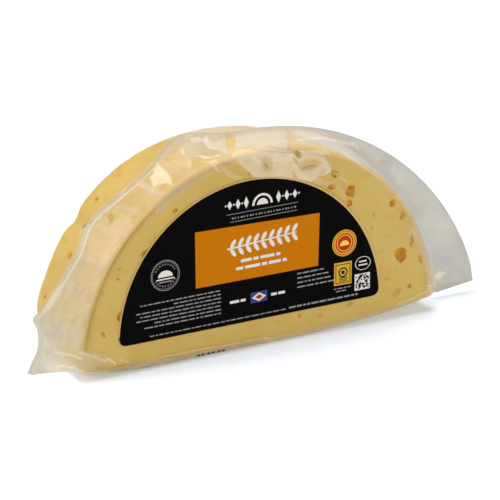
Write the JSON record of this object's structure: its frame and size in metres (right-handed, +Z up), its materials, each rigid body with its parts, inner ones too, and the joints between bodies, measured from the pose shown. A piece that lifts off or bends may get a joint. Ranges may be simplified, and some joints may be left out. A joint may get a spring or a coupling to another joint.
{
  "type": "half wheel of cheese in a film pack",
  "caption": "Half wheel of pale cheese with fruit pieces, standing on its cut side in a clear sealed film pack with a half-moon label.",
  "frame": {"origin": "on the floor in the flat part of the base, midway through the cheese's thickness, under the centre of the half disc", "axes": "+Z up, +X along the cut side towards the wide end of the film border, -Y out of the labelled face"},
  "size_m": [0.2808, 0.0607, 0.1191],
  "materials": {
    "packed_cheese": "pale creamy yellow cheese seen through tight clear film",
    "label_film": "glossy black printed film with an orange panel",
    "clear_film": "clear glossy vacuum film, milky and creased where it stands off the cheese",
    "dried_fruit": "moist amber dice of dried mango and small olive-brown bits of ginger, flush with the cheese",
    "label_ink": "flat printed fields of orange, cream, gold and red ink"
  },
  "bodies": {
    "root": {"film_pack": "packed_cheese", "label": "label_film"}
  },
  "joints": []
}
